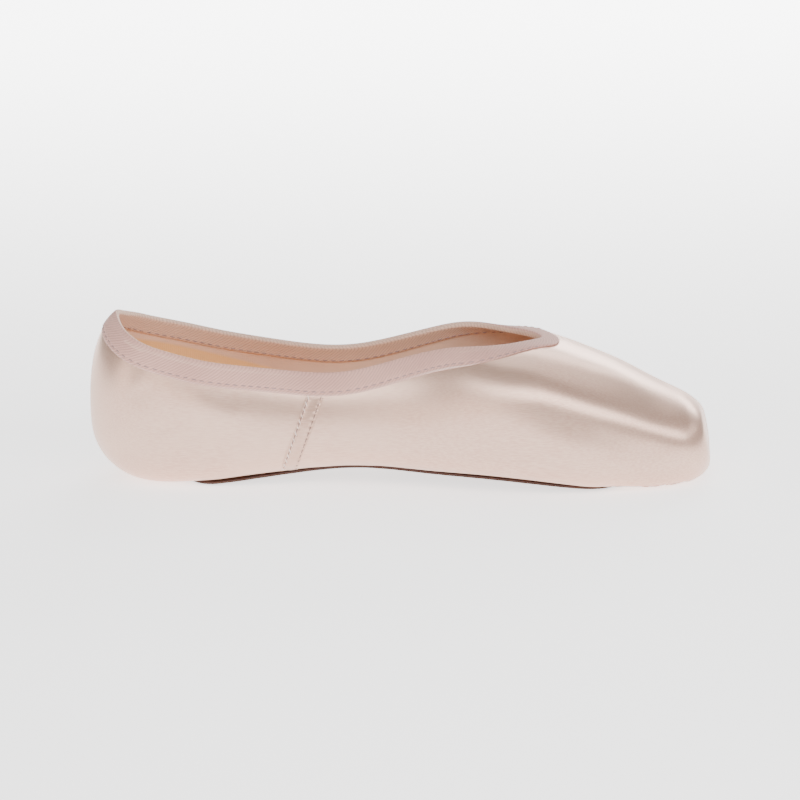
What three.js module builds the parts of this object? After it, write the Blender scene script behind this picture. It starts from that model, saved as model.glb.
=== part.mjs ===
// A pointe shoe on a straight last: a satin upper whose sides rise to a bound top line with a V-shaped throat,
// a stiffened toe box that ends in a flat platform, a thin leather outsole and an insole.
// Millimetres. X runs from heel to toe, Z is up, the floor is z = 0, and the shoe is its own mirror image in Y.
import * as THREE from "three";

// Driving dimensions.
const LENGTH = 236; // back of the heel to the platform
const WALL_QUARTER = 1.6; // satin, interlining and cotton at the heel and sides
const WALL_BOX = 3.0; // the same with the pasted layers of the toe box
const BOX_STARTS = 150; // the wall thickens from here
const BOX_FULL = 205; // to here
const GAP = 0.3; // between pieces that touch
// The tape folded over the top line: how deep its legs reach, how far it lies off the upper, and how its fold is
// rounded.
const BINDING = { thick: 0.7, outer: 8.5, atPoint: 7.0, inner: 7.2, gap: 0.45, belowFold: 0.4, crown: 0.3 };
const POINT_LENGTH = 26; // the outer leg narrows over this length before the point of the V
// The lapped side seam slants from its foot near the sole to just below the tape.
const SEAM = { wide: 6.3, thick: 0.6, topX: 89.0, footX: 77.0, footQ: 1.2, belowTape: 0.4 };
const OUTSOLE_THICK = 1.6;
const OUTSOLE_EDGE = 0.9; // it is skived to this at its border
const INSOLE_THICK = 1.6;
const INSOLE_GAP = 0.4; // its sections curve most, so it lies a little further off

// The last, one row a section. x and half give the outline in plan at the section's widest height, with x from
// the back of the heel. flat is the half width of the flat underside, widest the height of the widest point, and
// crown the height over the middle line, or where it would be if the top were closed. low and up are the
// exponents of the curves below and above the widest height: 2 is an ellipse, and more is squarer.
const LAST = [
  { x: 0, half: 0.0, flat: 7.0, widest: 22.0, crown: 67.9, low: 2.0, up: 2.7 },
  { x: 4.5, half: 13.5, flat: 8.0, widest: 22.0, crown: 65.9, low: 2.0, up: 2.7 },
  { x: 16, half: 23.5, flat: 12.0, widest: 22.0, crown: 68.0, low: 2.1, up: 2.5 },
  { x: 32, half: 27.6, flat: 15.0, widest: 22.0, crown: 70.2, low: 2.2, up: 2.3 },
  { x: 52, half: 28.5, flat: 15.5, widest: 21.5, crown: 64.9, low: 2.2, up: 2.2 },
  { x: 76, half: 27.3, flat: 13.0, widest: 20.5, crown: 56.7, low: 2.2, up: 2.2 },
  { x: 100, half: 26.8, flat: 12.0, widest: 19.5, crown: 55.1, low: 2.2, up: 2.2 },
  { x: 122, half: 28.8, flat: 15.0, widest: 18.5, crown: 58.2, low: 2.2, up: 2.1 },
  { x: 135, half: 31.0, flat: 18.0, widest: 17.8, crown: 60.0, low: 2.2, up: 2.2 },
  { x: 147, half: 33.2, flat: 20.8, widest: 17.0, crown: 57.0, low: 2.2, up: 2.9 },
  { x: 158, half: 35.0, flat: 23.2, widest: 16.4, crown: 54.0, low: 2.2, up: 3.3 },
  { x: 170, half: 36.2, flat: 24.8, widest: 15.8, crown: 53.5, low: 2.2, up: 3.1 },
  { x: 184, half: 35.6, flat: 24.8, widest: 15.0, crown: 49.5, low: 2.2, up: 2.8 },
  { x: 202, half: 32.2, flat: 22.8, widest: 14.0, crown: 42.6, low: 2.2, up: 2.6 },
  { x: 218, half: 27.6, flat: 20.0, widest: 13.5, crown: 36.0, low: 2.2, up: 2.5 },
  { x: 228, half: 24.0, flat: 13.5, widest: 13.6, crown: 31.2, low: 2.0, up: 2.4 },
  { x: 236, half: 21.0, flat: 5.0, widest: 14.5, crown: 27.4, low: 1.9, up: 2.4 },
];

// The underside of the upper along the shoe: on the floor at heel and toe, and raised by the arch between them.
const UNDERSIDE = [
  { x: 0, z: 0.9 },
  { x: 20, z: 0.7 },
  { x: 34, z: 0.9 },
  { x: 42, z: 1.6 },
  { x: 50, z: 1.9 },
  { x: 58, z: 3.0 },
  { x: 70, z: 4.5 },
  { x: 82, z: 5.9 },
  { x: 94, z: 7.2 },
  { x: 104, z: 7.7 },
  { x: 118, z: 7.2 },
  { x: 130, z: 6.5 },
  { x: 146, z: 6.2 },
  { x: 158, z: 5.7 },
  { x: 170, z: 4.7 },
  { x: 182, z: 3.0 },
  { x: 190, z: 1.9 },
  { x: 198, z: 1.75 },
  { x: 207, z: 0.9 },
  { x: 216, z: 0.5 },
  { x: 236, z: 0.5 },
];

// The top line behind the throat: how far it lies inside the widest outline, measured along the section.
const TOP_LINE = [
  { x: 0, inset: 11.2 },
  { x: 4.5, inset: 10.4 },
  { x: 16, inset: 7.0 },
  { x: 32, inset: 5.1 },
  { x: 52, inset: 5.3 },
  { x: 76, inset: 6.5 },
  { x: 100, inset: 6.6 },
  { x: 122, inset: 10.2 },
  { x: 135, inset: 12.0 },
  { x: 147, inset: 12.0 },
  { x: 172, inset: 13.0 },
];
const THROAT_X = 173; // the point of the V
const THROAT_HALF_ANGLE = THREE.MathUtils.degToRad(27.5);
const THROAT_RADIUS = 4.8; // the V is rounded by this much at its point
const SHOULDER_BLEND = 4.5; // rounds the corner where the V leaves the sides

// The opening in the underside that the insole and the outsole close.
const MARGIN = { from: 46, to: 192, endLength: 12, share: 0.62 };

// The heel's sections fan round its middle, and the rest stand square to the length.
const HEEL_AXIS = 26;
const FAN_ENDS = 52;

// The toe: its last sections are drawn in to the rim of the platform, and the whole leans back above a height.
const TOE = { from: 228, drawnIn: 0.36, middle: 16, lean: 0.2, leanFrom: 10, leanSoft: 5, leanStarts: 196 };
const TOE_DEPTH = LENGTH - TOE.from;

// The outline of the outsole in plan, before its ends are rounded over the two end lengths.
const OUTSOLE = [
  { x: 37, half: 16.0 },
  { x: 56, half: 16.0 },
  { x: 76, half: 13.8 },
  { x: 98, half: 12.8 },
  { x: 122, half: 15.6 },
  { x: 145, half: 21.2 },
  { x: 160, half: 24.2 },
  { x: 174, half: 25.2 },
  { x: 190, half: 24.2 },
  { x: 203, half: 22.5 },
];
const OUTSOLE_ENDS = { heel: 12, toe: 19 };
const INSOLE = { to: 222, endLength: 16, edgeQ: 1.22 };

// A natural cubic through the values, level at its start where startsLevel is true.
function cubicThrough(knots, values, startsLevel) {
  const n = knots.length;
  const bend = new Array(n).fill(0);
  const carry = new Array(n).fill(0);
  const slope = (i) => (values[i + 1] - values[i]) / (knots[i + 1] - knots[i]);
  if (startsLevel) {
    carry[0] = -0.5;
    bend[0] = (3 / (knots[1] - knots[0])) * slope(0);
  }
  for (let i = 1; i < n - 1; i++) {
    const both = knots[i + 1] - knots[i - 1];
    const share = (knots[i] - knots[i - 1]) / both;
    const pivot = share * carry[i - 1] + 2;
    carry[i] = (share - 1) / pivot;
    bend[i] = ((6 * (slope(i) - slope(i - 1))) / both - share * bend[i - 1]) / pivot;
  }
  bend[n - 1] = 0;
  for (let i = n - 2; i >= 0; i--) bend[i] += carry[i] * bend[i + 1];
  return (at) => {
    let i = 0;
    while (i < n - 2 && at > knots[i + 1]) i++;
    const step = knots[i + 1] - knots[i];
    const b = (at - knots[i]) / step;
    const a = 1 - b;
    const curve = ((a ** 3 - a) * bend[i] + (b ** 3 - b) * bend[i + 1]) * (step ** 2 / 6);
    return a * values[i] + b * values[i + 1] + curve;
  };
}

const column = (rows, name) => rows.map((row) => row[name]);
const alongX = (rows, name) => cubicThrough(column(rows, "x"), column(rows, name), true);

// The columns of the last run along the outline rather than along x, so that the heel is round.
const outlineAt = [0];
for (let i = 1; i < LAST.length; i++) {
  const step = Math.hypot(LAST[i].x - LAST[i - 1].x, LAST[i].half - LAST[i - 1].half);
  outlineAt.push(outlineAt[i - 1] + step);
}
const last = {};
for (const name of ["x", "half", "flat", "widest", "crown", "low", "up"]) {
  last[name] = cubicThrough(outlineAt, column(LAST, name), name !== "half");
}
const underside = alongX(UNDERSIDE, "z");
const topLineInset = alongX(TOP_LINE, "inset");
const outsoleHalf = alongX(OUTSOLE, "half");

// The distance along the outline at which its x is reached.
function stationAt(x) {
  let low = 0;
  let high = outlineAt[LAST.length - 1];
  for (let i = 0; i < 50; i++) {
    const middle = (low + high) / 2;
    if (last.x(middle) < x) low = middle;
    else high = middle;
  }
  return (low + high) / 2;
}

// Stations past the last full section go round the toe's edge, and then over the platform to its middle.
const TOE_AT = stationAt(TOE.from);
const TOE_STATIONS = 10; // stations counted round the toe's edge, and again over the platform
const PLATFORM_AT = TOE_AT + TOE_STATIONS;
const POLE_AT = PLATFORM_AT + TOE_STATIONS;

// The section at a station: where its plane crosses the middle line, its direction in plan, how far the widest
// point lies from the middle line, how much the section is drawn in, and the station its columns are read at.
function sectionAt(station) {
  let drawn = 1;
  let row = station;
  if (station > TOE_AT) {
    const turn = (Math.min((station - TOE_AT) / (PLATFORM_AT - TOE_AT), 1) * Math.PI) / 2;
    row = stationAt(TOE.from + TOE_DEPTH * Math.sin(turn));
    drawn = 1 - TOE.drawnIn * (1 - Math.cos(turn));
    if (station > PLATFORM_AT) drawn *= (POLE_AT - station) / (POLE_AT - PLATFORM_AT);
  }
  const x = last.x(row);
  const half = last.half(row);
  if (x >= FAN_ENDS) return { row, axisX: x, outX: 0, outY: 1, reach: half, drawn };
  const axisX = HEEL_AXIS + (FAN_ENDS - HEEL_AXIS) * (x / FAN_ENDS) ** 2;
  const reach = Math.hypot(x - axisX, half);
  return { row, axisX, outX: (x - axisX) / reach, outY: half / reach, reach, drawn };
}

// A point on a quarter of a superellipse, from its flat end to its upright end.
function superellipse(angle, exponent) {
  const c = Math.max(Math.cos(angle), 0);
  const s = Math.max(Math.sin(angle), 0);
  const size = (c ** exponent + s ** exponent) ** (-1 / exponent);
  return [c * size, s * size];
}

const mirrored = (p) => new THREE.Vector3(p.x, -p.y, p.z);

// The outside of the shoe at a station and a place q round its section: 0 is the middle of the underside, 1 the
// edge of its flat, 2 the widest point and 3 the middle of the top. It goes on into the other half past 0 and 3.
function outside(station, q) {
  if (station < 0) return mirrored(outside(-station, q));
  if (q < 0) return mirrored(outside(station, -q));
  if (q > 3) return mirrored(outside(station, 6 - q));
  const { row, axisX, outX, outY, reach, drawn } = sectionAt(station);
  const flat = last.flat(row);
  const widest = last.widest(row);
  let r = flat * Math.min(q, 1);
  let z = underside(axisX + outX * r);
  if (q > 2) {
    const [across, up] = superellipse(((q - 2) * Math.PI) / 2, last.up(row));
    r = reach * across;
    z = widest + (last.crown(row) - widest) * up;
  } else if (q > 1) {
    const [down, across] = superellipse(((q - 1) * Math.PI) / 2, last.low(row));
    r = flat + (reach - flat) * across;
    z = widest - (widest - z) * down;
  }
  r *= drawn;
  z = TOE.middle + (z - TOE.middle) * drawn;
  const above = z - TOE.leanFrom;
  const lifted = (above + Math.hypot(above, TOE.leanSoft)) / 2;
  const lean = TOE.lean * lifted * THREE.MathUtils.smoothstep(axisX, TOE.leanStarts, TOE.from);
  return new THREE.Vector3(axisX + outX * r - lean - LENGTH / 2, outY * r, z);
}

// The two directions of that surface at a place. At the pole, and at the middle of the heel's fan, sections have no
// width, so there they are read a little beside it.
const BESIDE_FAN = 0.02;
function directions(station, q) {
  const step = 0.01;
  const beforePole = POLE_AT - 0.5;
  const at = Math.min(station, beforePole);
  const round = station === 0 ? Math.max(q, BESIDE_FAN) : q;
  const alongShoe = outside(at + step, round).sub(outside(at - step, round)).divideScalar(2 * step);
  const roundSection = outside(at, round + step).sub(outside(at, round - step)).divideScalar(2 * step);
  return { alongShoe, roundSection };
}

function normalAt(station, q) {
  const { alongShoe, roundSection } = directions(station, q);
  const normal = roundSection.cross(alongShoe);
  if (station === 0 || q === 0 || q === 3 || station === POLE_AT) normal.y = 0;
  return normal.normalize();
}

// A point at a distance outside the surface, or inside it where the distance is negative.
const offset = (station, q, by) => outside(station, q).addScaledVector(normalAt(station, q), by);

function wall(station) {
  const share = THREE.MathUtils.smoothstep(sectionAt(station).axisX, BOX_STARTS, BOX_FULL);
  return THREE.MathUtils.lerp(WALL_QUARTER, WALL_BOX, share);
}

// The place round the section of the top line: along the sides, and in front the V of the throat.
function topQ(station) {
  const { row, axisX, reach } = sectionAt(station);
  const ahead = THROAT_X - axisX;
  if (ahead <= 1e-6) return 3;
  const sides = reach - topLineInset(last.x(row));
  const vee = Math.sqrt((ahead * Math.tan(THROAT_HALF_ANGLE)) ** 2 + 2 * THROAT_RADIUS * ahead);
  const half = (sides + vee - Math.hypot(sides - vee, SHOULDER_BLEND)) / 2;
  const exponent = last.up(row);
  const across = Math.max(half, 0) / reach;
  const up = (1 - across ** exponent) ** (1 / exponent);
  return 2 + Math.atan2(up, across) / (Math.PI / 2);
}

const CLOSED = 1e-3; // a rounded end narrower than this share of its width has closed

// The share of 1 left by a rounded end, at a distance from that end.
function rounded(fromEnd, endLength) {
  const share = THREE.MathUtils.clamp(fromEnd / endLength, 0, 1);
  return Math.sqrt(share * (2 - share));
}

function marginQ(station) {
  const x = sectionAt(station).axisX;
  const ends = rounded(x - MARGIN.from, MARGIN.endLength) * rounded(MARGIN.to - x, MARGIN.endLength);
  return ends < CLOSED ? 0 : MARGIN.share * ends;
}

function insoleQ(station) {
  const end = rounded(INSOLE.to - sectionAt(station).axisX, INSOLE.endLength);
  return end < CLOSED ? 0 : INSOLE.edgeQ * end;
}

// Adds a quad as two triangles, leaving out any that has closed to a line.
const SHORTEST_SIDE = 1e-5;
function quad(triangles, a, b, c, d) {
  for (const [p, q, r] of [[a, b, c], [a, c, d]]) {
    const shortest = Math.min(p.distanceTo(q), q.distanceTo(r), r.distanceTo(p));
    if (shortest > SHORTEST_SIDE) triangles.push([p, q, r]);
  }
}

// Stations for a row of x on the middle line, from where the section planes cross it.
function stationOverAxis(x) {
  let low = 0;
  let high = TOE_AT;
  for (let i = 0; i < 50; i++) {
    const middle = (low + high) / 2;
    if (sectionAt(middle).axisX < x) low = middle;
    else high = middle;
  }
  return (low + high) / 2;
}

// Cells of one size between two values, or ones that shrink towards either by the square.
const evenly = (from, to, cells) => Array.from({ length: cells }, (_, i) => from + ((to - from) * i) / cells);
const closingOn = (from, to, cells) =>
  Array.from({ length: cells }, (_, i) => to + (from - to) * (1 - i / cells) ** 2);
const openingFrom = (from, to, cells) =>
  Array.from({ length: cells }, (_, i) => from + (to - from) * (i / cells) ** 2);

const MARGIN_AT = stationOverAxis(MARGIN.from);
const THROAT_AT = stationOverAxis(THROAT_X);
const WAIST = { from: 58, to: 154 }; // the sections between are spaced evenly along the shoe
const OPEN_STATIONS = [
  ...evenly(0, MARGIN_AT, 9),
  ...openingFrom(MARGIN.from, WAIST.from, 3).map(stationOverAxis),
  ...evenly(WAIST.from, WAIST.to, 13).map(stationOverAxis),
  ...closingOn(WAIST.to, THROAT_X, 5).map(stationOverAxis),
];
const CLOSED_STATIONS = [
  ...closingOn(THROAT_X, MARGIN.to, 4).map(stationOverAxis),
  ...evenly(MARGIN.to, TOE.from, 5).map(stationOverAxis),
  ...evenly(TOE_AT, PLATFORM_AT, 5),
  ...evenly(PLATFORM_AT, POLE_AT, 3),
  POLE_AT,
];
const UPPER_STATIONS = [...OPEN_STATIONS, ...CLOSED_STATIONS];

// Places round a section between stops, spaced evenly along the surface.
function placesBetween(station, stops, cells) {
  const fine = 16;
  const places = [stops[0]];
  for (let part = 0; part < cells.length; part++) {
    const [from, to] = [stops[part], stops[part + 1]];
    const at = [...evenly(from, to, fine), to];
    const along = [0];
    for (let i = 1; i <= fine; i++) {
      along.push(along[i - 1] + outside(station, at[i]).distanceTo(outside(station, at[i - 1])) + 1e-9);
    }
    for (let cell = 1; cell < cells[part]; cell++) {
      const wanted = (along[fine] * cell) / cells[part];
      let i = 1;
      while (along[i] < wanted) i++;
      const share = (wanted - along[i - 1]) / (along[i] - along[i - 1]);
      places.push(THREE.MathUtils.lerp(at[i - 1], at[i], share));
    }
    places.push(to);
  }
  return places;
}

// A skin between two offsets of the surface, over the stations and between the stops of each. It is closed along
// its edges, and both halves are made.
function skin(stations, stopsOf, cells, outer, inner) {
  const half = [];
  const places = stations.map((station) => placesBetween(station, stopsOf(station), cells));
  const grid = (by) => stations.map((station, i) => places[i].map((q) => offset(station, q, by(station))));
  const [o, n] = [grid(outer), grid(inner)];
  const end = places[0].length - 1;
  for (let i = 0; i + 1 < stations.length; i++) {
    for (let j = 0; j < end; j++) {
      quad(half, o[i][j], o[i][j + 1], o[i + 1][j + 1], o[i + 1][j]);
      quad(half, n[i][j], n[i + 1][j], n[i + 1][j + 1], n[i][j + 1]);
    }
    const opensBelow = places[i][0] > 0 || places[i + 1][0] > 0;
    if (opensBelow) quad(half, o[i][0], o[i + 1][0], n[i + 1][0], n[i][0]);
    const opensAbove = places[i][end] < 3 || places[i + 1][end] < 3;
    if (opensAbove) quad(half, o[i + 1][end], o[i][end], n[i][end], n[i + 1][end]);
  }
  const other = half.map(([a, b, c]) => [mirrored(a), mirrored(c), mirrored(b)]);
  return [...half, ...other];
}

// The places that a straight walk over the surface reaches after each distance.
const STRIDE = 0.5;
function walk(station, q, heading, distances) {
  const reached = [];
  const place = { station, q };
  let gone = 0;
  for (const distance of distances) {
    const steps = Math.max(1, Math.ceil((distance - gone) / STRIDE));
    const step = (distance - gone) / steps;
    for (let i = 0; i < steps; i++) {
      const { alongShoe, roundSection } = directions(place.station, place.q);
      const ss = alongShoe.dot(alongShoe);
      const sq = alongShoe.dot(roundSection);
      const qq = roundSection.dot(roundSection);
      const hs = heading.dot(alongShoe);
      const hq = heading.dot(roundSection);
      const area = ss * qq - sq * sq;
      const shoeRate = (hs * qq - hq * sq) / area;
      const sectionRate = (hq * ss - hs * sq) / area;
      const moved = alongShoe.multiplyScalar(shoeRate).addScaledVector(roundSection, sectionRate);
      const rate = step / moved.length();
      place.station += shoeRate * rate;
      place.q += sectionRate * rate;
      heading = moved.normalize();
    }
    gone = distance;
    reached.push({ ...place });
  }
  return reached;
}

// The direction over the surface that leads straight away from the opening, at a station of the top line.
function awayFromOpening(station) {
  const step = Math.min(0.02, Math.max((THROAT_AT - station) / 2, 1e-4));
  const rim = (at) => outside(at, topQ(Math.abs(at)));
  const ahead = station >= THROAT_AT ? mirrored(rim(THROAT_AT - step)) : rim(station + step);
  const tangent = ahead.sub(rim(Math.min(station, THROAT_AT) - step));
  const away = normalAt(station, topQ(station)).cross(tangent);
  if (station === 0 || station >= THROAT_AT) away.y = 0;
  return away.normalize();
}

// How deep the tape reaches down the outside: a little less round the point of the V.
function bindingReach(station) {
  const share = THREE.MathUtils.smoothstep(sectionAt(station).axisX, THROAT_X - POINT_LENGTH, THROAT_X);
  return THREE.MathUtils.lerp(BINDING.outer, BINDING.atPoint, share);
}

// The folded tape: at each station of the top line, a loop round its two legs and its rounded fold.
const FOLD_DEGREES = [35, 65, 90, 115, 145];
function bindingLoop(station) {
  const q = topQ(station);
  const away = awayFromOpening(station);
  const thick = wall(station);
  const rim = outside(station, q);
  const normal = normalAt(station, q);
  const reach = bindingReach(station);
  const outer = walk(station, q, away, evenly(BINDING.belowFold, reach, 3).concat(reach));
  const inner = walk(station, q, away, evenly(BINDING.belowFold, BINDING.inner, 2).concat(BINDING.inner));
  const over = (place, by) => offset(place.station, place.q, by);
  const deep = (place, by) => over(place, -wall(place.station) - by);
  const near = BINDING.gap;
  const far = BINDING.gap + BINDING.thick;
  const fold = (out, up) => rim.clone().addScaledVector(normal, out).addScaledVector(away, -up);
  const crest = FOLD_DEGREES.map((degrees) => {
    const angle = THREE.MathUtils.degToRad(degrees);
    const out = (thick / 2 + far) * Math.cos(angle) - thick / 2;
    return fold(out, (far + BINDING.crown) * Math.sin(angle));
  });
  const loop = [
    ...[...outer].reverse().map((place) => over(place, far)),
    ...crest,
    ...inner.map((place) => deep(place, far)),
    ...[...inner].reverse().map((place) => deep(place, near)),
    fold(-thick - near, near),
    fold(near, near),
    ...outer.map((place) => over(place, near)),
  ];
  if (station === 0 || station >= THROAT_AT) {
    for (const p of loop) p.y = 0;
  }
  return loop;
}

function bindingTriangles() {
  const half = [];
  const loops = [...OPEN_STATIONS, THROAT_AT].map(bindingLoop);
  for (let i = 0; i + 1 < loops.length; i++) {
    const [here, next] = [loops[i], loops[i + 1]];
    for (let j = 0; j < here.length; j++) {
      const k = (j + 1) % here.length;
      quad(half, here[j], here[k], next[k], next[j]);
    }
  }
  const other = half.map(([a, b, c]) => [mirrored(a), mirrored(c), mirrored(b)]);
  return [...half, ...other];
}

// The lapped side seam: a slanting strip on the outside from the foot to the edge of the binding.
function seamTriangles(side) {
  const triangles = [];
  const rows = 8;
  const columns = [-0.5, 0.5];
  const topPlaces = columns.map((across) => {
    const station = stationOverAxis(SEAM.topX + across * SEAM.wide);
    const [edge] = walk(station, topQ(station), awayFromOpening(station), [BINDING.outer + SEAM.belowTape]);
    return edge;
  });
  const footPlaces = columns.map((across) => {
    return { station: stationOverAxis(SEAM.footX + across * SEAM.wide), q: SEAM.footQ };
  });
  const layer = (by) => {
    return columns.map((_, c) => {
      return Array.from({ length: rows + 1 }, (_unused, i) => {
        const [foot, head] = [footPlaces[c], topPlaces[c]];
        const q = THREE.MathUtils.lerp(foot.q, head.q, i / rows);
        const [low, high] = [outside(foot.station, foot.q).z, outside(head.station, head.q).z];
        const risen = (outside(foot.station, q).z - low) / (high - low);
        const share = THREE.MathUtils.clamp(risen, 0, 1);
        return offset(THREE.MathUtils.lerp(foot.station, head.station, share), q, by);
      });
    });
  };
  const [under, top] = [layer(GAP), layer(GAP + SEAM.thick)];
  for (let i = 0; i < rows; i++) {
    quad(triangles, top[0][i], top[0][i + 1], top[1][i + 1], top[1][i]);
    quad(triangles, under[0][i], under[1][i], under[1][i + 1], under[0][i + 1]);
    quad(triangles, under[0][i], under[0][i + 1], top[0][i + 1], top[0][i]);
    quad(triangles, under[1][i + 1], under[1][i], top[1][i], top[1][i + 1]);
  }
  quad(triangles, under[1][0], under[0][0], top[0][0], top[1][0]);
  quad(triangles, under[0][rows], under[1][rows], top[1][rows], top[0][rows]);
  if (side > 0) return triangles;
  return triangles.map(([a, b, c]) => [mirrored(a), mirrored(c), mirrored(b)]);
}

// The outsole lies under the upper, follows the arch, and is flat on the floor at the heel and the ball. It is
// skived towards its border, and where its ends have drawn in below a share of its width.
const OUTSOLE_ACROSS = [-1, -0.86, -0.5, 0, 0.5, 0.86, 1];
const SKIVED_ENDS = 0.6;
function outsoleTriangles() {
  const triangles = [];
  const from = OUTSOLE[0].x;
  const to = OUTSOLE[OUTSOLE.length - 1].x;
  const heelEnd = from + OUTSOLE_ENDS.heel;
  const toeEnd = to - OUTSOLE_ENDS.toe;
  const xs = [
    ...openingFrom(from, heelEnd, 5),
    ...evenly(heelEnd, toeEnd, 16),
    ...closingOn(toeEnd, to, 5),
    to,
  ];
  const top = [];
  const bottom = [];
  for (const x of xs) {
    const ends = rounded(x - from, OUTSOLE_ENDS.heel) * rounded(to - x, OUTSOLE_ENDS.toe);
    const half = outsoleHalf(x) * ends;
    const upperFace = underside(x) - GAP;
    const thick = THREE.MathUtils.lerp(OUTSOLE_EDGE, OUTSOLE_THICK, Math.min(ends / SKIVED_ENDS, 1));
    top.push(OUTSOLE_ACROSS.map((share) => new THREE.Vector3(x - LENGTH / 2, half * share, upperFace)));
    bottom.push(
      OUTSOLE_ACROSS.map((share) => {
        const here = Math.abs(share) === 1 ? OUTSOLE_EDGE : thick;
        return new THREE.Vector3(x - LENGTH / 2, half * share, Math.max(0, upperFace - here));
      }),
    );
  }
  const edge = OUTSOLE_ACROSS.length - 1;
  for (let i = 0; i + 1 < xs.length; i++) {
    for (let j = 0; j < edge; j++) {
      quad(triangles, top[i][j], top[i + 1][j], top[i + 1][j + 1], top[i][j + 1]);
      quad(triangles, bottom[i][j], bottom[i][j + 1], bottom[i + 1][j + 1], bottom[i + 1][j]);
    }
    quad(triangles, bottom[i][0], bottom[i + 1][0], top[i + 1][0], top[i][0]);
    quad(triangles, bottom[i + 1][edge], bottom[i][edge], top[i][edge], top[i + 1][edge]);
  }
  return triangles;
}

const shoe = new THREE.Group();
shoe.name = "pointe_shoe";

function addPiece(name, triangles, color, roughness) {
  const positions = new Float32Array(triangles.flatMap((corners) => corners.flatMap((p) => [p.x, p.y, p.z])));
  const geometry = new THREE.BufferGeometry();
  geometry.setAttribute("position", new THREE.BufferAttribute(positions, 3));
  geometry.computeVertexNormals();
  const material = new THREE.MeshStandardMaterial({ color, roughness, metalness: 0 });
  const mesh = new THREE.Mesh(geometry, material);
  mesh.name = name;
  shoe.add(mesh);
}

const upperStops = (station) => [marginQ(station), 1, 2, topQ(station)];
const upperSkin = skin(UPPER_STATIONS, upperStops, [2, 6, 9], () => 0, (station) => -wall(station));
addPiece("upper", upperSkin, "#d8ccc4", 0.42);

const insoleEnd = stationOverAxis(INSOLE.to);
const insoleRounds = stationOverAxis(INSOLE.to - INSOLE.endLength);
const INSOLE_STATIONS = [
  ...UPPER_STATIONS.filter((station) => station < insoleRounds - 1),
  ...closingOn(INSOLE.to - INSOLE.endLength, INSOLE.to, 5).map(stationOverAxis),
  insoleEnd,
];
const insoleStops = (station) => [0, insoleQ(station)];
const insoleUnder = (station) => -wall(station) - INSOLE_GAP;
const insoleTop = (station) => insoleUnder(station) - INSOLE_THICK;
addPiece("insole", skin(INSOLE_STATIONS, insoleStops, [5], insoleUnder, insoleTop), "#d9a066", 0.8);

addPiece("outsole", outsoleTriangles(), "#5a4136", 0.75);
addPiece("collar_binding", bindingTriangles(), "#cdbbb5", 0.7);
addPiece("side_seam_left", seamTriangles(1), "#d3c3ba", 0.5);
addPiece("side_seam_right", seamTriangles(-1), "#d3c3ba", 0.5);

export default shoe;
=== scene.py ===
# %% [markdown]
# # A pointe shoe, dressed for its picture
#
# The shoe comes from the frame as plain solids: an upper, an insole, an outsole, a binding and two side seams.
# This lesson puts the cloth, the stitches and the leather on them. All sizes are in metres, the toe points to +X,
# the side that we look at is -Y, and the shoe stands on the floor at z = 0.
# First the frame is loaded.

import math

import bmesh
import bpy
import numpy as np
from mathutils import Matrix, Vector
from mathutils.bvhtree import BVHTree


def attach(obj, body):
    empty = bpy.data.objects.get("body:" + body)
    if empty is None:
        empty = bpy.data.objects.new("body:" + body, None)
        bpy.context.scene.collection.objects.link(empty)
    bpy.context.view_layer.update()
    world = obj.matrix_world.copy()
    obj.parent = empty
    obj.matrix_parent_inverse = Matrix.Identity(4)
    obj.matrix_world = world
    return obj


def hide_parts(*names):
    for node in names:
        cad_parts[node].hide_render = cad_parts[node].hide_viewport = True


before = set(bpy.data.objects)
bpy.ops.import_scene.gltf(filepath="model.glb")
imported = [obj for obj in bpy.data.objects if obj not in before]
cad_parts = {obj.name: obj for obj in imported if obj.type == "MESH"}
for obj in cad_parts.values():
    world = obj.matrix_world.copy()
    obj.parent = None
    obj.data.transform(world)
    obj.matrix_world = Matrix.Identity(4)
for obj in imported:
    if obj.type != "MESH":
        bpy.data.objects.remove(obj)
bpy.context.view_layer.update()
MM = 0.001
print("nodes", sorted(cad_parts))


# %% [markdown]
# ## The camera
#
# The picture was taken with a long lens from a little above the floor and a touch towards the toe, and the camera
# was rolled slightly. The camera looks at a point in the middle of the shoe. Its place follows from two angles and
# a distance, and its turn is built from three directions: to the right, up, and back to the photographer.

# %% place the camera
AIM = Vector((0.6 * MM, 0.0, 28.6 * MM))
CAMERA_AZIMUTH = math.radians(4.5)
CAMERA_ELEVATION = math.radians(16.0)
CAMERA_DISTANCE = 1347 * MM
CAMERA_ROLL = math.radians(-1.35)

back = Vector(
    (
        math.sin(CAMERA_AZIMUTH) * math.cos(CAMERA_ELEVATION),
        -math.cos(CAMERA_AZIMUTH) * math.cos(CAMERA_ELEVATION),
        math.sin(CAMERA_ELEVATION),
    )
)
level_right = Vector((0, 0, 1)).cross(back).normalized()
level_up = back.cross(level_right)
right = level_right * math.cos(CAMERA_ROLL) + level_up * math.sin(CAMERA_ROLL)
up = level_up * math.cos(CAMERA_ROLL) - level_right * math.sin(CAMERA_ROLL)
turn = Matrix((right, up, back)).transposed().to_euler()
bpy.ops.object.camera_add(location=AIM + back * CAMERA_DISTANCE, rotation=turn)
camera = bpy.context.object
camera.name = "camera"
camera.data.lens = 160
camera.data.sensor_width = 36
camera.data.clip_end = 20
bpy.context.scene.camera = camera
print("camera at", [round(c, 3) for c in camera.location])


# %% [markdown]
# ## Floor and light
#
# A product picture like this one has a white table that is lit from below and runs up into a bright wall behind the
# object. Here the table is one wide plane with a weak glow of its own, stronger towards the back.
# Satin shows its shape through long streaks of gloss, and a streak is the mirror image of a light. The one along the
# side comes from a long, narrow strip above the photographer, the pale top of the vamp from the boxes behind the
# shoe, and the even brightness of the quarter and heel from two warm boxes low on the left. Where no light is
# mirrored, the satin stays dark.

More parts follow.
